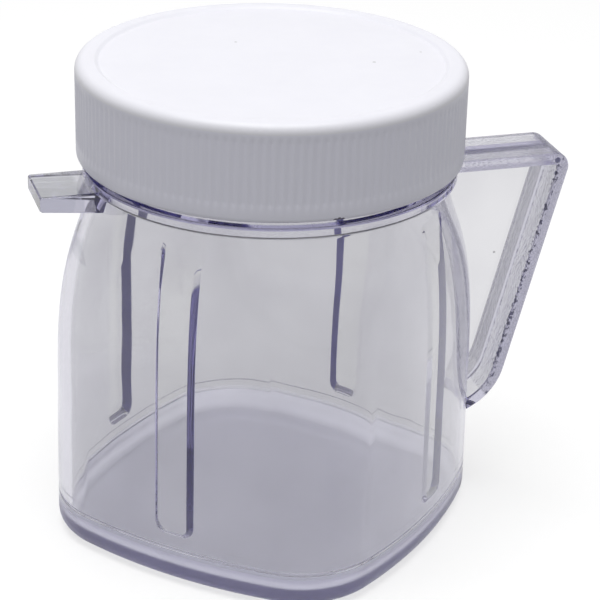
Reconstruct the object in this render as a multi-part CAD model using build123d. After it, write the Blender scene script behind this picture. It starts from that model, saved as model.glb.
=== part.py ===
from build123d import *
import os
from math import atan2, degrees, sqrt, tan, radians

# Small blender jar with a screw cap. Millimetres, +Z up. The jar stands on z = 0 about the Z axis,
# with its handle on the +X corner and its tab on the -X corner.

# Screw cap
cap_diameter = 75.0
cap_height = 18.75
cap_wall = 2.0
cap_top_thickness = 2.1
cap_edge_radius = 2.0
cap_rim_width = 3.6
cap_recess_depth = 0.5
cap_bead_height = 2.6
cap_bead_radius = 0.9
cap_smooth_height = 2.4
grip_rib_count = 144
grip_rib_depth = 0.35
liner_thickness = 1.0

# Clearances
thread_room = 1.3
liner_clearance = 0.3
seat_clearance = 0.1
weld_clearance = 0.05

# Jar walls and outline at the foot
rim_height = 93.4
rim_edge_radius = 0.8
wall = 2.6
face_half_width = 37.3
side_arc_radius = 103.7
corner_radius = 17.7

# Shoulder: share of the way up from the seam to the neck, and share of the way from the
# foot's rounded square to the neck's circle that the outline has gone by then
shoulder_curve = ((0.17, 0.012), (0.34, 0.035), (0.61, 0.13), (0.80, 0.45), (0.90, 0.74))

# Base tray and its weld
seam_height = 8.0
tongue_height = 1.5
floor_thickness = 2.8
foot_edge_radius = 3.5
floor_edge_radius = 2.5

# Ledge round the neck, under the cap
ledge_width = 2.2
ledge_height = 2.1
ledge_gap = 1.45

# Tab and handle, which hang below the cap
cap_gap = 3.25
lug_rise = 1.3
tab_reach = 46.4
tab_width = 13.0
tab_end_thickness = 3.0
tab_taper = 5.5
handle_reach = 61.2
handle_slant = 14.4
handle_foot = 18.3
handle_corner_radius = 3.0
handle_curl_radius = 13.0
flange_width = 13.0
flange_thickness = 2.4
web_thickness = 2.5

# Flutes let into the inside of the four walls: each wall's direction, and the flute's place along it
flute_places = ((45, -2.6), (135, 0), (225, 0), (315, 2.6))
flute_width = 7.5
flute_depth = 1.8
flute_low = 10.5
flute_high = 66.0
flute_corner_radius = 2.2

# Places worked out from the sizes above
cap_radius = cap_diameter / 2
skirt_bore = cap_radius - cap_wall
neck_radius = skirt_bore - thread_room
bore_radius = neck_radius - wall
liner_height = rim_height + seat_clearance
cap_ceiling = liner_height + liner_thickness
cap_top = cap_ceiling + cap_top_thickness
cap_bottom = cap_top - cap_height
ledge_top = cap_bottom - ledge_gap
lug_top = cap_bottom - cap_gap
shoulder_height = lug_top - lug_rise
side_centre = side_arc_radius - face_half_width
corner_centre = sqrt((side_arc_radius - corner_radius) ** 2 - side_centre**2 / 2) - side_centre / sqrt(2)
side_half_angle = degrees(atan2(corner_centre / sqrt(2), corner_centre / sqrt(2) + side_centre))


def outline(height, roundness, inset=0.0):
    """Level outline of the wall: four bulged sides and four corners on the axes, blended to a circle."""
    arcs = []
    for quarter in range(4):
        corner = (90 * quarter, 45 - side_half_angle, corner_centre, corner_radius)
        side = (90 * quarter + 45, side_half_angle, -side_centre, side_arc_radius)
        for middle, half_angle, centre_reach, foot_radius in (corner, side):
            centre = Vector(centre_reach * (1 - roundness), 0, 0).rotate(Axis.Z, middle)
            radius = foot_radius + (neck_radius - foot_radius) * roundness - inset
            turns = (middle - half_angle, middle, middle + half_angle)
            ends = [centre + Vector(radius, 0, 0).rotate(Axis.Z, turn) for turn in turns]
            arcs.append(ThreePointArc(*ends))
    return Pos(0, 0, height) * make_face(arcs)


def foot_prism(low, high, inset=0.0):
    """Upright block with the foot's outline."""
    return extrude(outline(low, 0, inset), high - low)


def shoulder_loft(inset=0.0):
    """Body from the seam's rounded square up to the round neck."""
    rise = shoulder_height - seam_height
    stations = ((0, 0), *shoulder_curve, (1, 1))
    return loft([outline(seam_height + share * rise, roundness, inset) for share, roundness in stations])


def disc(radius, low, high):
    """Round block about the jar's axis."""
    return Pos(0, 0, low) * Cylinder(radius, high - low, align=(Align.CENTER, Align.CENTER, Align.MIN))


def upright_plate(face, thickness):
    """Plate of the given X-Z face, centred on the plane through handle and tab."""
    return extrude(Plane.XZ * face, thickness / 2, both=True)


def make_handle():
    """Flange bent round the handle's outline, with a thin web filling it."""
    foot_reach = handle_reach - (lug_top - handle_foot) * tan(radians(handle_slant))
    corners = ((0, lug_top), (handle_reach, lug_top), (foot_reach, handle_foot), (0, handle_foot))
    radii = (0, handle_corner_radius, handle_curl_radius, 0)
    shape = make_face(FilletPolyline(*corners, radius=radii, close=True))
    window = offset(shape, -flange_thickness)
    return upright_plate(shape - window, flange_width) + upright_plate(shape, web_thickness)


def make_tab():
    """Solid lug with a level top and an underside that thickens towards its root."""
    end_bottom = lug_top - tab_end_thickness
    root_bottom = end_bottom - tab_reach * tan(radians(tab_taper))
    corners = ((0, lug_top), (-tab_reach, lug_top), (-tab_reach, end_bottom), (0, root_bottom))
    return upright_plate(make_face(Polyline(*corners, close=True)), tab_width)


def make_flute(turn, place):
    """Upright round-ended block through the wall that faces the given way."""
    start = bore_radius - wall
    face = RectangleRounded(flute_width, flute_high - flute_low, flute_corner_radius)
    face = Pos(place, (flute_low + flute_high) / 2) * face
    return Rot(0, 0, turn) * extrude(Plane.YZ.offset(start) * face, face_half_width - start)


def make_jar_body():
    """Clear moulding: neck with its ledge, shoulder, fluted walls, handle, tab and the weld's tongue."""
    walls = shoulder_loft()
    neck = disc(neck_radius, shoulder_height, rim_height)
    ledge = disc(neck_radius + ledge_width, ledge_top - ledge_height, ledge_top)
    tongue_low = seam_height - tongue_height
    cavity = shoulder_loft(wall) + disc(bore_radius, shoulder_height, rim_height)
    flute_floor = shoulder_loft(wall - flute_depth)
    flutes = [make_flute(turn, place) & flute_floor for turn, place in flute_places]
    body = walls + neck + ledge + make_handle() + make_tab()
    body = body - cavity - flutes
    body = fillet(body.edges().group_by(Axis.Z)[-1], rim_edge_radius)
    tongue_inset = wall / 2 + weld_clearance
    tongue = foot_prism(tongue_low, seam_height, tongue_inset) - foot_prism(tongue_low, seam_height, wall)
    return body + tongue


def make_jar_base():
    """Clear tray welded under the walls, with a rebate that takes their tongue."""
    tray = foot_prism(0, seam_height)
    tray = fillet(tray.edges().group_by(Axis.Z)[0], foot_edge_radius)
    hollow = foot_prism(floor_thickness, seam_height, wall)
    hollow = fillet(hollow.edges().group_by(Axis.Z)[0], floor_edge_radius)
    rebate = foot_prism(seam_height - tongue_height, seam_height, wall / 2)
    return tray - hollow - rebate


def make_lid():
    """Screw cap: turned shell with a raised rim on top, and upright grip ribs round the skirt."""
    root_radius = cap_radius - grip_rib_depth
    rim_inside = cap_radius - cap_rim_width
    rib_low = cap_bottom + cap_bead_height
    rib_high = cap_top - cap_smooth_height
    points = (
        (0, cap_top - cap_recess_depth),
        (rim_inside - cap_recess_depth, cap_top - cap_recess_depth),
        (rim_inside, cap_top),
        (cap_radius, cap_top),
        (cap_radius, rib_high),
        (root_radius, rib_high),
        (root_radius, rib_low),
        (cap_radius, rib_low),
        (cap_radius, cap_bottom),
        (skirt_bore, cap_bottom),
        (skirt_bore, cap_ceiling),
        (0, cap_ceiling),
    )
    radii = (0, 0, 0, cap_edge_radius, 0, 0, 0, 0, cap_bead_radius, 0, 0, 0)
    shell = revolve(Plane.XZ * make_face(FilletPolyline(*points, radius=radii, close=True)), Axis.Z)
    half_step = 180 / grip_rib_count
    star = [
        Vector(cap_radius if n % 2 else root_radius, 0).rotate(Axis.Z, half_step * n)
        for n in range(2 * grip_rib_count)
    ]
    grip = make_face(Polyline(*star, close=True)) - Circle(skirt_bore + cap_wall / 2)
    return shell + Pos(0, 0, rib_low) * extrude(grip, rib_high - rib_low)


def make_lid_liner():
    """Sealing disc held in the cap's ceiling, over the rim."""
    return disc(skirt_bore - liner_clearance, liner_height, cap_ceiling)


pieces = {
    "jar_body": make_jar_body(),
    "jar_base": make_jar_base(),
    "lid": make_lid(),
    "lid_liner": make_lid_liner(),
}

os.makedirs("parts", exist_ok=True)
for name, piece in pieces.items():
    export_step(piece, f"parts/{name}.step")
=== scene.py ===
from math import atan2, cos, pi, radians, sin, sqrt, tan

import bmesh
import bpy
import numpy as np
from mathutils import Matrix, Vector


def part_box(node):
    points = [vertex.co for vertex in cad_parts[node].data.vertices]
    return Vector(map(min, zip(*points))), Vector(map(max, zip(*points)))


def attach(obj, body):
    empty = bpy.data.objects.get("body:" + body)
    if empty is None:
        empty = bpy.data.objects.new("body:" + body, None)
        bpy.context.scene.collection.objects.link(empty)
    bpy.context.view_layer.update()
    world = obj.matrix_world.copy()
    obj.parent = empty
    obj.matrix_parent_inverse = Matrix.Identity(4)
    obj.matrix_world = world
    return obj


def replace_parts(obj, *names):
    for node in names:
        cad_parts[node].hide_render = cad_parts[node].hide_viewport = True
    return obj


# Small clear blender jar with a white screw cap. Sizes are in millimetres, and meshes are made in metres.
MM = 0.001

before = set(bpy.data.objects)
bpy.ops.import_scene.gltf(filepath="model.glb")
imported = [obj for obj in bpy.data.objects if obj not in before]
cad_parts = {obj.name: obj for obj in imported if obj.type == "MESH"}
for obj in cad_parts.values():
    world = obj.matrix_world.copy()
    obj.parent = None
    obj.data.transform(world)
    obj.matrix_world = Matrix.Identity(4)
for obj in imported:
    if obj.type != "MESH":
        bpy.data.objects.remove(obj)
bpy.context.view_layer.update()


def box_mm(node):
    """Lowest and highest corner of a CAD node, in millimetres."""
    low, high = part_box(node)
    return low / MM, high / MM


# Places read from the frame
lid_low, lid_high = box_mm("lid")
liner_high = box_mm("lid_liner")[1]
body_low, body_high = box_mm("jar_body")
base_high = box_mm("jar_base")[1]
cap_radius = lid_high.x
cap_top = lid_high.z
cap_bottom = lid_low.z
cap_ceiling = liner_high.z
rim_height = body_high.z
seam_height = base_high.z
inner_seam_height = body_low.z
tab_reach = -body_low.x

# Screw cap
cap_wall = 2.0
cap_edge_radius = 2.0
cap_rim_width = 3.6
cap_rim_slope = 1.1
cap_recess_depth = 0.5
cap_bead_height = 2.6
cap_bead_radius = 0.9
cap_smooth_height = 2.4
grip_rib_count = 144
grip_rib_depth = 0.2
grip_run_out = 1.4
skirt_chamfer = 0.3

# Thread, right-handed, on the neck and in the cap
thread_lead = 5.08
thread_crest = 0.6
thread_flank = 0.7
thread_fade = 0.12
neck_thread_height = 0.85
neck_thread_low = 83.2
neck_thread_turns = 1.5
cap_thread_height = 1.0
cap_thread_turns = 1.25

# Jar walls and outline at the foot
thread_room = 1.3
wall = 2.6
rim_edge_radius = 0.8
face_half_width = 37.3
side_arc_radius = 103.7
corner_radius = 17.7
cap_gap = 3.25
lug_rise = 1.3
lug_top = cap_bottom - cap_gap
shoulder_height = lug_top - lug_rise
shoulder_curve = ((0, 0), (0.17, 0.012), (0.34, 0.035), (0.61, 0.13), (0.80, 0.45), (0.90, 0.74), (1, 1))
floor_thickness = 2.8
foot_edge_radius = 3.5
floor_edge_radius = 2.5
seam_groove_width = 0.35
seam_groove_depth = 0.16

# Ledge round the neck, under the cap
ledge_width = 2.2
ledge_height = 2.1
ledge_gap = 1.45
ledge_top = cap_bottom - ledge_gap
ledge_edge = 0.35
ledge_lip = 0.02

# Tab and handle
tab_width = 13.0
tab_end_thickness = 3.0
tab_taper = 5.5
handle_reach = 61.2
handle_slant = 14.4
handle_foot = 18.3
handle_corner_radius = 3.0
handle_curl_radius = 13.0
flange_width = 13.0
flange_thickness = 2.4
web_thickness = 2.5
lug_start = 20.0
moulded_edge = 0.4

# Specks and dark marks, each a centre and a radius
cap_specks = (
    ((-3.8, 12.4, cap_top - cap_recess_depth), 0.3),
    ((18.7, -5.3, cap_top - cap_recess_depth), 0.35),
    ((29.5, -1.4, cap_top - cap_recess_depth), 0.25),
)
cap_marks = (
    ((1.4, -37.2, cap_bottom + 0.3), 0.4),
    ((2.1, -37.2, cap_bottom + 0.45), 0.4),
    ((2.8, -37.1, cap_bottom + 0.3), 0.4),
)
web_specks = (((47.6, -1.25, 52.1), 0.25),)
handle_specks = (((57.8, -6.5, 73.2), 0.6),)

# Stipple moulded on the handle's flange, and painted dark glints in dots along its inner front edge
stipple_start = 38.0
stipple_low = 22.0
stipple_scale = 2000
stipple_depth = 0.14
stipple_roughness = 0.15
dot_scale = 1500
dot_threshold = 0.56
dot_band_inside = 0.2
dot_band_outside = 0.7
dot_band_depth = 0.8

# Zones of the clear plastic with a haze of their own, and zones with painted shade and painted light
zone_margin = 0.3
tab_start = 38.0
tab_low = 60.0
foot_high = 6.5
foot_roughness = 0.3
ledge_inner_margin = 0.2
ledge_outer_margin = 0.1
web_line_half_width = 1.4
corner_zone = 3.0
corner_zone_front = 6.0
# Painted shade on the flute steps: how steep a step's face is, and how opaque and rough the painted bars are
bar_lean = 0.42
bar_opacity = 0.6
bar_roughness = 0.3

# Range that noise textures mostly keep to
noise_low = 0.3
noise_high = 0.7

# Flutes let into the inside of the four walls, each with its wall's direction and its place along the wall
handle_flute_shift = 2.6
back_handle_flute = (45, -handle_flute_shift)
back_tab_flute = (135, 0)
front_tab_flute = (225, 0)
front_handle_flute = (315, handle_flute_shift)
flute_places = (back_handle_flute, back_tab_flute, front_tab_flute, front_handle_flute)
flute_low = 10.0
flute_high = 70.0
flute_half_width = 4.2
flute_foot_radius = 2.6
flute_depth = 1.8
flute_run = 0.95
flute_run_out = 9.0
flute_back = 1.0

# Mesh steps
corner_steps = 56
side_steps = 32
fillet_steps = 8
edge_steps = 3
thread_step = 0.28
shoulder_rows = 56
shoulder_crowding = 1.4
grip_steps = 8
skirt_steps = 288
lug_step = 1.0
flute_columns = 52
flute_rows = 236
flute_skin = 0.02
jar_sharp_angle = 32
cap_sharp_angle = 40

# Sizes worked out from those above
neck_radius = cap_radius - cap_wall - thread_room
bore_radius = neck_radius - wall
skirt_bore = cap_radius - cap_wall
side_centre = side_arc_radius - face_half_width
corner_centre = sqrt((side_arc_radius - corner_radius) ** 2 - side_centre**2 / 2) - side_centre / sqrt(2)
side_half_angle = atan2(corner_centre / sqrt(2), corner_centre / sqrt(2) + side_centre)


def smooth_curve(points):
    """Natural cubic spline through (x, y) points, as a function of x."""
    x, y = np.array(points, float).T
    step = np.diff(x)
    slope = np.diff(y) / step
    system = np.eye(len(x))
    kink = np.zeros(len(x))
    for i in range(1, len(x) - 1):
        system[i, i - 1 : i + 2] = step[i - 1], 2 * (step[i - 1] + step[i]), step[i]
        kink[i] = 6 * (slope[i] - slope[i - 1])
    bend = np.linalg.solve(system, kink)

    def value(at):
        i = min(max(int(np.searchsorted(x, at)) - 1, 0), len(step) - 1)
        left = (x[i + 1] - at) / step[i]
        right = 1 - left
        curve = (left**3 - left) * bend[i] + (right**3 - right) * bend[i + 1]
        return left * y[i] + right * y[i + 1] + curve * step[i] ** 2 / 6

    return value


roundness_at = smooth_curve(shoulder_curve)


def shoulder_share(height):
    """Share of the way from the foot's rounded square to the neck's circle at a height."""
    return roundness_at((height - seam_height) / (shoulder_height - seam_height))


def wall_samples():
    """Directions round the wall, each with the centre and foot radius of the arc that it lies on."""
    turns, centres, radii = [], [], []
    for quarter in range(4):
        middle = quarter * pi / 2
        corner = (middle, pi / 4 - side_half_angle, corner_centre, corner_radius, corner_steps)
        side = (middle + pi / 4, side_half_angle, -side_centre, side_arc_radius, side_steps)
        for facing, half_angle, reach, radius, steps in (corner, side):
            for n in range(steps):
                turns.append(facing - half_angle + 2 * half_angle * n / steps)
                centres.append((reach * cos(facing), reach * sin(facing)))
                radii.append(radius)
    return np.array(turns), np.array(centres), np.array(radii)


wall_turns, wall_centres, wall_radii = wall_samples()
wall_normals = np.stack([np.cos(wall_turns), np.sin(wall_turns)], axis=1)


def wall_ring(height, inset=0.0, roundness=None):
    """Level ring of the wall's outline at a height, moved inwards by an inset."""
    if roundness is None:
        roundness = shoulder_share(max(height, seam_height))
    radii = wall_radii + (neck_radius - wall_radii) * roundness - inset
    level = wall_centres * (1 - roundness) + wall_normals * radii[:, None]
    return np.column_stack([level, np.full(len(level), height)])


def neck_ring(height, inset=0.0):
    """Level ring of the round neck, moved inwards by an inset that may vary round the ring."""
    return wall_ring(height, inset, roundness=1.0)


def quarter_turns():
    """Angles from 0 to a quarter turn, for a fillet."""
    return [pi / 2 * n / fillet_steps for n in range(fillet_steps + 1)]


def eased(share):
    """Share from 0 to 1 that starts and ends gently."""
    return share * share * (3 - 2 * share)


def thread_ridge(turns, height, low, length):
    """Share of a thread's full height at each direction on one level."""
    crest = thread_crest / 2
    best = np.zeros(len(turns))
    for lap in range(int(length) + 2):
        along = np.mod(turns, 2 * pi) / (2 * pi) + lap
        off = np.abs(height - low - thread_lead * along)
        rise = np.clip((crest + thread_flank - off) / thread_flank, 0, 1)
        ends = np.clip(np.minimum(along, length - along) / thread_fade, 0, 1)
        best = np.maximum(best, eased(rise) * eased(ends))
    return best


def make_object(name, points, faces):
    """Mesh object from points in millimetres and faces, with its normals facing out."""
    mesh = bpy.data.meshes.new(name)
    mesh.from_pydata((np.asarray(points, float) * MM).tolist(), [], faces)
    shape = bmesh.new()
    shape.from_mesh(mesh)
    bmesh.ops.recalc_face_normals(shape, faces=shape.faces)
    shape.to_mesh(mesh)
    shape.free()
    made = bpy.data.objects.new(name, mesh)
    bpy.context.scene.collection.objects.link(made)
    return made


def ring_faces(count, rows, start=0):
    """Quads between rings of the same count."""
    faces = []
    for row in range(rows - 1):
        low = start + row * count
        high = low + count
        for i in range(count):
            j = (i + 1) % count
            faces.append((low + i, low + j, high + j, high + i))
    return faces


def ring_solid(name, rings):
    """Closed solid through rings, capped flat at both ends."""
    count = len(rings[0])
    faces = ring_faces(count, len(rings))
    last = count * (len(rings) - 1)
    faces.append(tuple(reversed(range(count))))
    faces.append(tuple(range(last, last + count)))
    return make_object(name, np.concatenate(rings), faces)


def combine(kept, other, operation):
    """Boolean of two closed meshes. The result stays in the first and the other is removed."""
    joined = kept.modifiers.new("combine", "BOOLEAN")
    joined.operation = operation
    joined.solver = "MANIFOLD"
    joined.object = other
    depsgraph = bpy.context.evaluated_depsgraph_get()
    result = bpy.data.meshes.new_from_object(kept.evaluated_get(depsgraph))
    kept.modifiers.clear()
    kept.data = result
    bpy.data.objects.remove(other)
    return kept


def smooth_shading(made, sharp_angle):
    """Smooth shading with sharp edges, weighted so that flat faces stay flat."""
    made.data.polygons.foreach_set("use_smooth", [True] * len(made.data.polygons))
    made.data.set_sharp_from_angle(angle=radians(sharp_angle))
    weighting = made.modifiers.new("weighted_normals", "WEIGHTED_NORMAL")
    weighting.keep_sharp = True
    return made


def seam_rows(height, depth):
    """Three (height, depth) rows of a narrow groove round the wall."""
    half = seam_groove_width / 2
    return [(height - half, 0.0), (height, depth), (height + half, 0.0)]


def shoulder_heights(start):
    """Levels from above a seam up to the neck, closer together on the shoulder."""
    shares = [1 - (1 - n / shoulder_rows) ** shoulder_crowding for n in range(shoulder_rows + 1)]
    return [start + (shoulder_height - start) * share for share in shares]


def ledge_rows():
    """(height, reach beyond the neck) rows of the ledge, from its underside to its top."""
    low = ledge_top - ledge_height
    rows = [(low, 0.0)]
    for turn in quarter_turns():
        height = low + ledge_lip + ledge_edge * (1 - cos(turn))
        rows.append((height, ledge_width - ledge_edge * (1 - sin(turn))))
    for turn in quarter_turns():
        height = ledge_top - ledge_lip - ledge_edge * (1 - sin(turn))
        rows.append((height, ledge_width - ledge_edge * (1 - cos(turn))))
    return [*rows, (ledge_top, 0.0)]


def outer_solid():
    """Jar filled in: foot, walls, shoulder and threaded neck."""
    rings = []
    for turn in reversed(quarter_turns()):
        rings.append(wall_ring(foot_edge_radius * (1 - sin(turn)), foot_edge_radius * (1 - cos(turn))))
    for height, depth in seam_rows(seam_height, seam_groove_depth):
        rings.append(wall_ring(height, depth))
    for height in shoulder_heights(seam_height + seam_groove_width):
        rings.append(wall_ring(height))
    for height, out in ledge_rows():
        rings.append(neck_ring(height, -out))
    thread_top = neck_thread_low + thread_lead * neck_thread_turns
    span = thread_crest / 2 + thread_flank
    rows = int((thread_top - neck_thread_low + 2 * span) / thread_step) + 1
    for height in np.linspace(neck_thread_low - span, thread_top + span, rows):
        ridge = thread_ridge(wall_turns, height, neck_thread_low, neck_thread_turns)
        rings.append(neck_ring(height, -neck_thread_height * ridge))
    for turn in quarter_turns():
        height = rim_height - rim_edge_radius * (1 - sin(turn))
        rings.append(neck_ring(height, rim_edge_radius * (1 - cos(turn))))
    return ring_solid("clear_jar", rings)


def cavity_solid():
    """Space inside the jar, carried on above the rim."""
    rings = []
    for turn in reversed(quarter_turns()):
        height = floor_thickness + floor_edge_radius * (1 - sin(turn))
        rings.append(wall_ring(height, wall + floor_edge_radius * (1 - cos(turn))))
    for height, depth in seam_rows(inner_seam_height, seam_groove_depth):
        rings.append(wall_ring(height, wall - depth))
    for height in shoulder_heights(inner_seam_height + seam_groove_width):
        rings.append(wall_ring(height, wall))
    for turn in quarter_turns():
        height = rim_height - rim_edge_radius * cos(turn)
        rings.append(neck_ring(height, wall - rim_edge_radius * (1 - sin(turn))))
    rings.append(neck_ring(rim_height + wall, wall - rim_edge_radius))
    return ring_solid("cavity", rings)


def rounded_path(corners, radii, step):
    """Points along a path with rounded corners, each with the direction to its right."""
    points, rights = [], []
    corners = [Vector(corner) for corner in corners]
    start = corners[0]
    for i in range(1, len(corners)):
        along = (corners[i] - corners[i - 1]).normalized()
        right = Vector((along.y, -along.x))
        end = corners[i]
        turn = 0.0
        if i < len(corners) - 1:
            onward = (corners[i + 1] - corners[i]).normalized()
            turn = along.angle(onward)
            end = corners[i] - along * radii[i] * tan(turn / 2)
        count = max(1, round((end - start).length / step))
        for n in range(count + 1):
            points.append(start.lerp(end, n / count))
            rights.append(right)
        if turn:
            centre = end + right * radii[i]
            for n in range(1, 2 * fillet_steps):
                spun = Matrix.Rotation(-turn * n / (2 * fillet_steps), 2) @ right
                points.append(centre - spun * radii[i])
                rights.append(spun)
            start = corners[i] + onward * radii[i] * tan(turn / 2)
    return points, rights


def handle_path():
    """Outer face of the handle's flange in the X-Z plane, from the neck round to the body."""
    foot_reach = handle_reach - (lug_top - handle_foot) * tan(radians(handle_slant))
    top = ((lug_start, lug_top), (handle_reach, lug_top))
    corners = (*top, (foot_reach, handle_foot), (lug_start, handle_foot))
    return rounded_path(corners, (0, handle_corner_radius, handle_curl_radius, 0), lug_step)


def rounded_section(width, depth):
    """Points (across, inwards) round a rectangle with rounded edges."""
    section = []
    half = width / 2 - moulded_edge
    corners = ((half, moulded_edge, -pi / 2), (half, depth - moulded_edge, 0))
    corners += ((-half, depth - moulded_edge, pi / 2), (-half, moulded_edge, pi))
    for across, inwards, first in corners:
        for n in range(edge_steps + 1):
            turn = first + pi / 2 * n / edge_steps
            section.append((across + moulded_edge * cos(turn), inwards + moulded_edge * sin(turn)))
    return section


def handle_flange():
    """Band swept round the handle's outline."""
    section = rounded_section(flange_width, flange_thickness)
    rings = []
    for point, inward in zip(*handle_path()):
        places = [point + inward * depth for across, depth in section]
        rings.append(np.array([(p.x, across, p.y) for p, (across, depth) in zip(places, section)]))
    return ring_solid("flange", rings)


def handle_web():
    """Thin plate that fills the handle inside its flange."""
    outline = [point + inward * flange_thickness / 2 for point, inward in zip(*handle_path())]
    rings = [np.array([(p.x, side * web_thickness / 2, p.y) for p in outline]) for side in (-1, 1)]
    return ring_solid("web", rings)


def tab():
    """Lug with a level top and an underside that thickens towards its root."""
    end_bottom = lug_top - tab_end_thickness
    rings = []
    for reach in (tab_reach, tab_reach - moulded_edge, lug_start):
        bottom = end_bottom - (tab_reach - reach) * tan(radians(tab_taper))
        shrink = moulded_edge if reach == tab_reach else 0.0
        section = rounded_section(tab_width - shrink, lug_top - bottom - shrink)
        rings.append(np.array([(-reach, across, lug_top - shrink / 2 - depth) for across, depth in section]))
    return ring_solid("tab", rings)


def wall_middle(height, across, inset):
    """Reach of a wall near its middle, at a height and a distance to the side."""
    roundness = shoulder_share(height)
    radius = side_arc_radius + (neck_radius - side_arc_radius) * roundness - inset
    return sqrt(radius**2 - across**2) - side_centre * (1 - roundness)


def flute_share(height, across):
    """Share of a flute's full depth: steep sides and foot, and a top that runs out in the shoulder."""
    past_foot = max(flute_low + flute_foot_radius - height, 0)
    past_side = max(abs(across) - flute_half_width + flute_foot_radius, 0)
    edge = flute_foot_radius - sqrt(past_side**2 + past_foot**2)
    return min(max(edge / flute_run, 0), 1) * min((flute_high - height) / flute_run_out, 1)


def flute(turn, place):
    """Plug that leaves a shallow upright channel in the wall it is cut from."""
    sides = np.linspace(-flute_half_width, flute_half_width, flute_columns + 1)
    heights = np.linspace(flute_low, flute_high, flute_rows + 1)
    rings = []
    for height in heights:
        sunk = [flute_depth * flute_share(height, y) - flute_skin for y in sides]
        front = [wall_middle(height, place + y, wall) + depth for y, depth in zip(sides, sunk)]
        back = [wall_middle(height, place + y, wall + flute_back) for y in reversed(sides)]
        across = [*sides, *reversed(sides)]
        rings.append(np.array([(reach, place + y, height) for reach, y in zip(front + back, across)]))
    plug = ring_solid("flute", rings)
    plug.data.transform(Matrix.Rotation(radians(turn), 4, "Z"))
    return plug


def make_jar():
    """Clear jar as one watertight mesh: walls, base, thread, handle, tab and flutes."""
    jar = outer_solid()
    handle = combine(handle_flange(), handle_web(), "UNION")
    combine(jar, handle, "UNION")
    combine(jar, tab(), "UNION")
    cavity = cavity_solid()
    for turn, place in flute_places:
        combine(cavity, flute(turn, place), "UNION")
    combine(jar, cavity, "DIFFERENCE")
    return smooth_shading(jar, jar_sharp_angle)


def cap_outer_rows():
    """(radius, height, rib share) rows from the top's recess down to the skirt's edge."""
    rim_inside = cap_radius - cap_rim_width
    rows = []
    for n in range(fillet_steps + 1):
        share = n / fillet_steps
        height = cap_top - cap_recess_depth * (1 - eased(share))
        rows.append((rim_inside - cap_rim_slope * (1 - share), height, 0.0))
    for turn in quarter_turns():
        radius = cap_radius - cap_edge_radius * (1 - sin(turn))
        rows.append((radius, cap_top - cap_edge_radius * (1 - cos(turn)), 0.0))
    rib_high = cap_top - cap_smooth_height
    rib_low = cap_bottom + cap_bead_height
    for share in (0.0, 0.5, 1.0):
        rows.append((cap_radius, rib_high - grip_run_out * share, share))
    for share in (1.0, 0.5, 0.0):
        rows.append((cap_radius, rib_low + grip_run_out * share, share))
    for turn in quarter_turns():
        radius = cap_radius - cap_bead_radius * (1 - cos(turn))
        rows.append((radius, cap_bottom + cap_bead_radius * (1 - sin(turn)), 0.0))
    return rows


def cap_inner_rows(turns):
    """(radius, height) rows up the skirt's inside, with a thread half a lead below the neck's."""
    low = neck_thread_low - thread_lead / 2
    span = thread_crest / 2 + thread_flank
    high = low + thread_lead * cap_thread_turns
    rows = [(skirt_bore + skirt_chamfer, cap_bottom), (skirt_bore, cap_bottom + skirt_chamfer)]
    count = int((high - low + 2 * span) / thread_step) + 1
    for height in np.linspace(low - span, high + span, count):
        ridge = thread_ridge(turns, height, low, cap_thread_turns)
        rows.append((skirt_bore - cap_thread_height * ridge, height))
    return [*rows, (skirt_bore, cap_ceiling)]


def turned_ring(radius, height, turns):
    """Level ring about the axis, with one radius or one for each direction."""
    return np.column_stack([radius * np.cos(turns), radius * np.sin(turns), np.full(len(turns), height)])


def make_cap():
    """White screw cap with fine grip ribs outside and a thread inside."""
    outer_count = grip_rib_count * grip_steps
    outer_turns = np.arange(outer_count) * 2 * pi / outer_count
    inner_turns = np.arange(skirt_steps) * 2 * pi / skirt_steps
    groove = grip_rib_depth * (0.5 - 0.5 * np.cos(grip_rib_count * outer_turns))
    outer = []
    for radius, height, share in cap_outer_rows():
        outer.append(turned_ring(radius - groove * share, height, outer_turns))
    inner = [turned_ring(radius, height, inner_turns) for radius, height in cap_inner_rows(inner_turns)]
    edge = outer_count * (len(outer) - 1)
    inner_start = outer_count * len(outer)
    ceiling = inner_start + skirt_steps * (len(inner) - 1)
    faces = ring_faces(outer_count, len(outer)) + ring_faces(skirt_steps, len(inner), inner_start)
    faces.append(tuple(range(outer_count)))
    faces.append(tuple(range(ceiling, ceiling + skirt_steps)))
    per_step = outer_count // skirt_steps
    for i in range(skirt_steps):
        arc = [edge + (i * per_step + n) % outer_count for n in range(per_step + 1)]
        faces.append((inner_start + i, inner_start + (i + 1) % skirt_steps, *reversed(arc)))
    cap = make_object("screw_cap", np.concatenate(outer + inner), faces)
    return smooth_shading(cap, cap_sharp_angle)


def new_material(name):
    """Node material with its tree and main shader."""
    material = bpy.data.materials.new(name)
    material.use_nodes = True
    tree = material.node_tree
    return material, tree, tree.nodes["Principled BSDF"]


def noise(tree, scale, detail=2.0):
    """Noise texture in the piece's own metres."""
    place = tree.nodes.new("ShaderNodeTexCoord")
    texture = tree.nodes.new("ShaderNodeTexNoise")
    texture.inputs["Scale"].default_value = scale
    texture.inputs["Detail"].default_value = detail
    tree.links.new(place.outputs["Object"], texture.inputs["Vector"])
    return texture.outputs["Fac"]


def spread(tree, value, low, high):
    """Noise stretched to a range."""
    stretched = tree.nodes.new("ShaderNodeMapRange")
    stretched.inputs["From Min"].default_value = noise_low
    stretched.inputs["From Max"].default_value = noise_high
    stretched.inputs["To Min"].default_value = low
    stretched.inputs["To Max"].default_value = high
    tree.links.new(value, stretched.inputs["Value"])
    return stretched.outputs["Result"]


def calculate(tree, operation, first, second):
    """Math node on two values, each a socket or a number."""
    node = tree.nodes.new("ShaderNodeMath")
    node.operation = operation
    for slot, value in enumerate((first, second)):
        if isinstance(value, (int, float)):
            node.inputs[slot].default_value = value
        else:
            tree.links.new(value, node.inputs[slot])
    return node.outputs["Value"]


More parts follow.
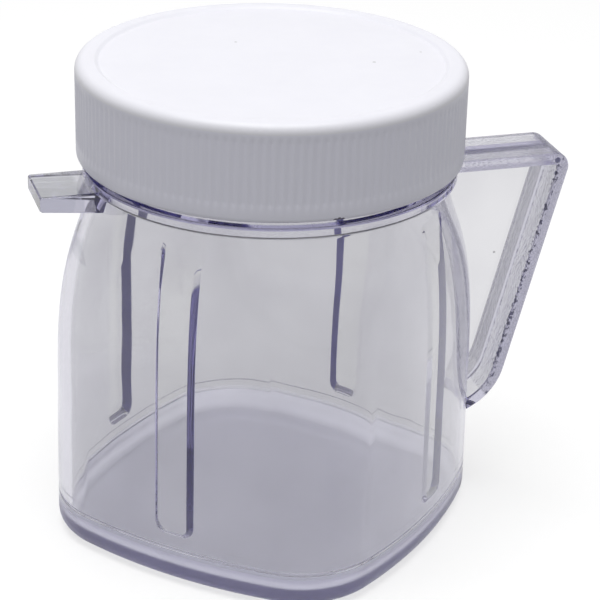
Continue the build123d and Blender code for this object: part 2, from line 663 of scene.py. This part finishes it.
def own_place(tree):
    """X, Y and Z of a point in the piece's own metres."""
    place = tree.nodes.new("ShaderNodeTexCoord")
    split = tree.nodes.new("ShaderNodeSeparateXYZ")
    tree.links.new(place.outputs["Object"], split.inputs["Vector"])
    return split.outputs["X"], split.outputs["Y"], split.outputs["Z"]


def add_bump(tree, shader, height, depth_mm, strength=1.0):
    """Bump of a given depth from a height pattern, on top of any bump the shader has."""
    bump = tree.nodes.new("ShaderNodeBump")
    bump.inputs["Distance"].default_value = depth_mm * MM
    if isinstance(strength, float):
        bump.inputs["Strength"].default_value = strength
    else:
        tree.links.new(strength, bump.inputs["Strength"])
    for link in shader.inputs["Normal"].links:
        tree.links.new(link.from_socket, bump.inputs["Normal"])
    tree.links.new(height, bump.inputs["Height"])
    tree.links.new(bump.outputs["Normal"], shader.inputs["Normal"])


def all_of(tree, first, *others):
    """1 where every mask is 1, and 0 elsewhere."""
    for other in others:
        first = calculate(tree, "MULTIPLY", first, other)
    return first


def within(tree, value, low, high):
    """1 where a value lies between two limits in millimetres, and 0 elsewhere."""
    above = calculate(tree, "GREATER_THAN", value, low * MM)
    return all_of(tree, above, calculate(tree, "LESS_THAN", value, high * MM))


def reach_along(tree, first, second, direction):
    """How far two values, as a vector, reach along a direction."""
    first = calculate(tree, "MULTIPLY", first, direction[0])
    return calculate(tree, "ADD", first, calculate(tree, "MULTIPLY", second, direction[1]))


def flange_reach(tree, x, z):
    """Distance out from the outer face of the handle's slanted flange."""
    lean = radians(handle_slant)
    from_corner_x = calculate(tree, "SUBTRACT", x, handle_reach * MM)
    from_corner_z = calculate(tree, "SUBTRACT", z, lug_top * MM)
    return reach_along(tree, from_corner_x, from_corner_z, (cos(lean), -sin(lean)))


def flange_mask(tree):
    """1 on the handle's flange beyond the neck, where the moulding is stippled, and 0 elsewhere."""
    x, y, z = own_place(tree)
    depth = (flange_thickness + zone_margin) * MM
    slant = calculate(tree, "GREATER_THAN", flange_reach(tree, x, z), -depth)
    slant = all_of(tree, slant, calculate(tree, "GREATER_THAN", z, stipple_low * MM))
    top = calculate(tree, "GREATER_THAN", z, lug_top * MM - depth)
    beyond_neck = calculate(tree, "GREATER_THAN", x, stipple_start * MM)
    below_top = calculate(tree, "LESS_THAN", z, (lug_top + zone_margin) * MM)
    return all_of(tree, calculate(tree, "MAXIMUM", slant, top), beyond_neck, below_top)


def flange_dark_glints(tree):
    """1 on painted dark glints in dots along the inner front edge of the handle's slanted flange, and 0
    elsewhere.
    """
    x, y, z = own_place(tree)
    inner = -flange_thickness
    edge = within(tree, flange_reach(tree, x, z), inner - dot_band_inside, inner + dot_band_outside)
    front = within(tree, y, -flange_width, dot_band_depth - flange_width / 2)
    dots = calculate(tree, "GREATER_THAN", noise(tree, scale=dot_scale, detail=1.0), dot_threshold)
    return all_of(tree, edge, front, within(tree, z, handle_foot, lug_top), dots)


def web_line_mask(tree):
    """1 on the handle's top over its web, and on its top corner, where a dark violet shade is painted, and 0
    elsewhere.
    """
    x, y, z = own_place(tree)
    line = all_of(
        tree,
        within(tree, x, stipple_start, handle_reach),
        within(tree, y, -web_line_half_width, web_line_half_width),
        within(tree, z, lug_top - zone_margin, lug_top + zone_margin),
    )
    corner = all_of(
        tree,
        within(tree, x, handle_reach - corner_zone, handle_reach + zone_margin),
        within(tree, y, -corner_zone_front, flange_width),
        within(tree, z, lug_top - corner_zone, lug_top),
    )
    return calculate(tree, "MAXIMUM", line, corner)


def flute_step_mask(tree, turn, place, side):
    """1 on the step at one side (1 or -1) of the flute at a place in a wall, where a dark violet shade is
    painted, and 0 elsewhere.
    """
    x, y, z = own_place(tree)
    facing = tree.nodes.new("ShaderNodeSeparateXYZ")
    geometry = tree.nodes.new("ShaderNodeNewGeometry")
    tree.links.new(geometry.outputs["True Normal"], facing.inputs["Vector"])
    out = (cos(radians(turn)), sin(radians(turn)))
    across = (-out[1], out[0])
    lean = reach_along(tree, facing.outputs["X"], facing.outputs["Y"], across)
    step = place + side * (flute_half_width - flute_run / 2)
    reach = flute_run / 2 + zone_margin
    return all_of(
        tree,
        calculate(tree, "GREATER_THAN", calculate(tree, "ABSOLUTE", lean, 0), bar_lean),
        within(tree, reach_along(tree, x, y, across), step - reach, step + reach),
        within(tree, reach_along(tree, x, y, out), bore_radius - wall, face_half_width),
        within(tree, z, flute_low - zone_margin, flute_high),
    )


def foot_mask(tree):
    """1 on the base's floor and foot, which are hazy and painted lighter, and 0 elsewhere."""
    x, y, z = own_place(tree)
    return calculate(tree, "LESS_THAN", z, foot_high * MM)


def tab_mask(tree):
    """1 on the tab, which is painted a grey shade, and 0 elsewhere."""
    x, y, z = own_place(tree)
    beyond_neck = within(tree, x, -tab_reach - zone_margin, -tab_start)
    return all_of(tree, beyond_neck, within(tree, z, tab_low, rim_height))


def ledge_mask(tree):
    """1 on the top of the neck's ledge, which is painted a violet shade, and 0 elsewhere."""
    x, y, z = own_place(tree)
    square = calculate(tree, "ADD", calculate(tree, "MULTIPLY", x, x), calculate(tree, "MULTIPLY", y, y))
    radius = calculate(tree, "SQRT", square, 0)
    outer = neck_radius + ledge_width + ledge_outer_margin
    ring = within(tree, radius, neck_radius + ledge_inner_margin, outer)
    return all_of(tree, ring, within(tree, z, ledge_top - ledge_edge, ledge_top + ledge_outer_margin))


def spots(tree, places):
    """1 within small round specks, each a centre and a radius in millimetres, and 0 elsewhere."""
    place = tree.nodes.new("ShaderNodeTexCoord")
    mask = 0.0
    for centre, radius in places:
        away = tree.nodes.new("ShaderNodeVectorMath")
        away.operation = "DISTANCE"
        tree.links.new(place.outputs["Object"], away.inputs[0])
        away.inputs[1].default_value = Vector(centre) * MM
        speck = calculate(tree, "LESS_THAN", away.outputs["Value"], radius * MM)
        mask = calculate(tree, "MAXIMUM", speck, mask)
    return mask


def blend(tree, colour, other, mask):
    """Colour that goes over to another where a mask goes from 0 to 1."""
    mix = tree.nodes.new("ShaderNodeMix")
    mix.data_type = "RGBA"
    if isinstance(colour, tuple):
        mix.inputs["A"].default_value = colour
    else:
        tree.links.new(colour, mix.inputs["A"])
    mix.inputs["B"].default_value = other
    tree.links.new(mask, mix.inputs["Factor"])
    return mix.outputs["Result"]


def paint(tree, shader, colour, zones):
    """Base colour of a shader: one colour, with others where their masks are 1."""
    for mask, zone_colour in zones:
        colour = blend(tree, colour, zone_colour, mask)
    tree.links.new(colour, shader.inputs["Base Color"])


def clear_plastic():
    """Clear moulding with a violet tint that deepens with thickness, and painted shade and light on some
    zones.
    """
    material, tree, shader = new_material("clear_plastic")
    clouds = spread(tree, noise(tree, scale=45, detail=3.0), low=0.0, high=1.0)
    cloudy = blend(tree, (0.70, 0.70, 0.705, 1), (0.78, 0.782, 0.78, 1), clouds)
    stippled = flange_mask(tree)
    foot_haze_and_light = foot_mask(tree)
    # Painted shade: one step each of three flutes is painted dark violet and made partly opaque, standing
    # for the dark bars of light lost inside the walls
    near_bar_shade = flute_step_mask(tree, *front_handle_flute, 1)
    far_bar_shade = flute_step_mask(tree, *back_handle_flute, 1)
    far_bar_shade = calculate(tree, "MAXIMUM", far_bar_shade, flute_step_mask(tree, *back_tab_flute, -1))
    bars = calculate(tree, "MAXIMUM", near_bar_shade, far_bar_shade)
    paint(tree, shader, cloudy, (
        # painted light: the floor and foot get a lighter, bluer colour that softens the foot's dark band;
        # their haze is the roughness below
        (foot_haze_and_light, (0.90, 0.90, 0.965, 1)),
        # painted grey shade on the tab
        (tab_mask(tree), (0.55, 0.56, 0.57, 1)),
        # painted violet shade on the top of the ledge, standing for the dark inside of the cap seen through
        # it
        (ledge_mask(tree), (0.42, 0.40, 0.60, 1)),
        (stippled, (0.66, 0.66, 0.68, 1)),
        # painted dark violet shade along the handle's top and on its top corner
        (web_line_mask(tree), (0.30, 0.28, 0.46, 1)),
        # painted dark glints along the slanted flange's inner edge
        (flange_dark_glints(tree), (0.02, 0.02, 0.04, 1)),
        # painted dark violet shade on the flute steps
        (near_bar_shade, (0.08, 0.065, 0.42, 1)),
        (far_bar_shade, (0.13, 0.115, 0.46, 1)),
        (spots(tree, web_specks), (0.2, 0.2, 0.2, 1)),
        (spots(tree, handle_specks), (0.03, 0.03, 0.08, 1)),
    ))
    clear = calculate(tree, "SUBTRACT", 1.0, calculate(tree, "MULTIPLY", bars, bar_opacity))
    tree.links.new(clear, shader.inputs["Transmission Weight"])
    plain_shine = shader.inputs["Specular IOR Level"].default_value
    shine = calculate(tree, "MULTIPLY", calculate(tree, "SUBTRACT", 1.0, bars), plain_shine)
    tree.links.new(shine, shader.inputs["Specular IOR Level"])
    shader.inputs["IOR"].default_value = 1.57
    roughness = spread(tree, noise(tree, scale=180), low=0.01, high=0.04)
    for mask, haze in ((stippled, stipple_roughness), (foot_haze_and_light, foot_roughness), (bars, bar_roughness)):
        roughness = calculate(tree, "ADD", roughness, calculate(tree, "MULTIPLY", mask, haze))
    tree.links.new(roughness, shader.inputs["Roughness"])
    add_bump(tree, shader, noise(tree, scale=55, detail=1.0), depth_mm=0.12)
    add_bump(tree, shader, noise(tree, scale=stipple_scale), stipple_depth, stippled)
    tint = tree.nodes.new("ShaderNodeVolumeAbsorption")
    tint.inputs["Color"].default_value = (0.985, 0.984, 0.9923, 1)
    tint.inputs["Density"].default_value = 1500
    tree.links.new(tint.outputs["Volume"], tree.nodes["Material Output"].inputs["Volume"])
    return material


def white_plastic():
    """Opaque white cap plastic, satin, with faint mottling on top and a side painted in a bluer shade."""
    material, tree, shader = new_material("white_plastic")
    mottling = noise(tree, scale=120, detail=4.0)
    mottled = blend(tree, (0.79, 0.788, 0.845, 1), (0.83, 0.828, 0.885, 1), mottling)
    x, y, z = own_place(tree)
    paint(tree, shader, mottled, (
        # painted bluish shade on the cap's side
        (within(tree, z, cap_bottom, cap_top - cap_edge_radius), (0.82, 0.82, 0.92, 1)),
        (spots(tree, cap_specks), (0.55, 0.55, 0.57, 1)),
        (spots(tree, cap_marks), (0.08, 0.07, 0.11, 1)),
    ))
    satin = spread(tree, noise(tree, scale=400), low=0.36, high=0.48)
    tree.links.new(satin, shader.inputs["Roughness"])
    add_bump(tree, shader, noise(tree, scale=2500, detail=3.0), depth_mm=0.015)
    return material


def liner_foam():
    """Pressed foam sheet of the cap's liner."""
    material, tree, shader = new_material("liner_foam")
    shader.inputs["Base Color"].default_value = (0.82, 0.82, 0.80, 1)
    tree.links.new(spread(tree, noise(tree, scale=900), low=0.7, high=0.9), shader.inputs["Roughness"])
    add_bump(tree, shader, noise(tree, scale=3000, detail=3.0), depth_mm=0.05)
    return material


def dress(made, material):
    """Gives a piece one material."""
    made.data.materials.clear()
    made.data.materials.append(material)
    return made


def seen_directly(tree):
    """1 where a thing is seen, straight or by way of the clear plastic, and 0 where it lights others."""
    paths = tree.nodes.new("ShaderNodeLightPath")
    mask = paths.outputs["Is Camera Ray"]
    for kind in ("Is Glossy Ray", "Is Transmission Ray"):
        mask = calculate(tree, "MAXIMUM", mask, paths.outputs[kind])
    return mask


# Floor, surroundings and softbox
floor_reach = 3000
floor_drop = 0.1
floor_glow = 0.66
surroundings_light = 0.28
surroundings_seen = 1.0
softbox_place = (-80, -80, 950)
softbox_size = 700
softbox_power = 7.4
softbox_aim_height = 45


def make_floor():
    """Wide pale floor that looks white and keeps the jar's shadow."""
    signs = ((-1, -1), (1, -1), (1, 1), (-1, 1))
    corners = [(x * floor_reach, y * floor_reach, -floor_drop) for x, y in signs]
    made = make_object("floor", corners, [(0, 1, 2, 3)])
    material, tree, shader = new_material("pale_floor")
    shader.inputs["Base Color"].default_value = (0.42, 0.42, 0.42, 1)
    shader.inputs["Roughness"].default_value = 0.9
    shader.inputs["Specular IOR Level"].default_value = 0.0
    shader.inputs["Emission Color"].default_value = (1, 1, 1, 1)
    glow = calculate(tree, "MULTIPLY", seen_directly(tree), floor_glow)
    tree.links.new(glow, shader.inputs["Emission Strength"])
    dress(made, material)


def make_world():
    """Even studio light, seen as white."""
    world = bpy.data.worlds.new("studio")
    bpy.context.scene.world = world
    world.use_nodes = True
    tree = world.node_tree
    light = tree.nodes["Background"]
    light.inputs["Color"].default_value = (1, 1, 1, 1)
    light.inputs["Strength"].default_value = surroundings_light
    white = tree.nodes.new("ShaderNodeBackground")
    white.inputs["Color"].default_value = (1, 1, 1, 1)
    white.inputs["Strength"].default_value = surroundings_seen
    mix = tree.nodes.new("ShaderNodeMixShader")
    tree.links.new(seen_directly(tree), mix.inputs["Fac"])
    tree.links.new(light.outputs["Background"], mix.inputs[1])
    tree.links.new(white.outputs["Background"], mix.inputs[2])
    tree.links.new(mix.outputs["Shader"], tree.nodes["World Output"].inputs["Surface"])


def soft_light(name, place, size, power):
    """Square softbox that faces the jar."""
    lamp = bpy.data.lights.new(name, "AREA")
    lamp.size = size * MM
    lamp.energy = power
    made = bpy.data.objects.new(name, lamp)
    bpy.context.scene.collection.objects.link(made)
    made.location = Vector(place) * MM
    aim = Vector((0, 0, softbox_aim_height)) - Vector(place)
    made.rotation_euler = aim.to_track_quat("-Z", "Y").to_euler()


# Camera, in degrees, millimetres and pixels of the 600 pixel frame
camera_elevation = 24.552
camera_azimuth = -17.371
camera_distance = 432.842
camera_focus = 2166.442
camera_roll = 1.499
camera_aim_height = 46.131
camera_aim_right = 6.484
frame_pixels = 600
sensor_width = 36.0


def make_camera():
    """Camera at the photograph's viewing angle."""
    rise = radians(camera_elevation)
    round_z = radians(camera_azimuth)
    back = Vector((sin(round_z) * cos(rise), -cos(round_z) * cos(rise), sin(rise)))
    level_right = Vector((cos(round_z), sin(round_z), 0))
    level_up = back.cross(level_right)
    roll = radians(camera_roll)
    right = level_right * cos(roll) + level_up * sin(roll)
    up = level_up * cos(roll) - level_right * sin(roll)
    aim = Vector((0, 0, camera_aim_height)) + level_right * camera_aim_right
    data = bpy.data.cameras.new("camera")
    data.sensor_width = sensor_width
    data.lens = camera_focus / frame_pixels * sensor_width
    data.clip_start = 0.01
    data.clip_end = 20
    made = bpy.data.objects.new("camera", data)
    bpy.context.scene.collection.objects.link(made)
    place = (aim + back * camera_distance) * MM
    made.matrix_world = Matrix.Translation(place) @ Matrix((right, up, back)).transposed().to_4x4()
    bpy.context.scene.camera = made


jar = dress(make_jar(), clear_plastic())
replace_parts(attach(jar, "jar"), "jar_body", "jar_base")
cap = dress(make_cap(), white_plastic())
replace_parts(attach(cap, "lid"), "lid")
dress(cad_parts["lid_liner"], liner_foam())

make_floor()
make_world()
soft_light("top_softbox", softbox_place, softbox_size, softbox_power)
make_camera()

scene = bpy.context.scene
scene.view_settings.view_transform = "Standard"
scene.cycles.max_bounces = 96
scene.cycles.transmission_bounces = 64
scene.cycles.glossy_bounces = 80
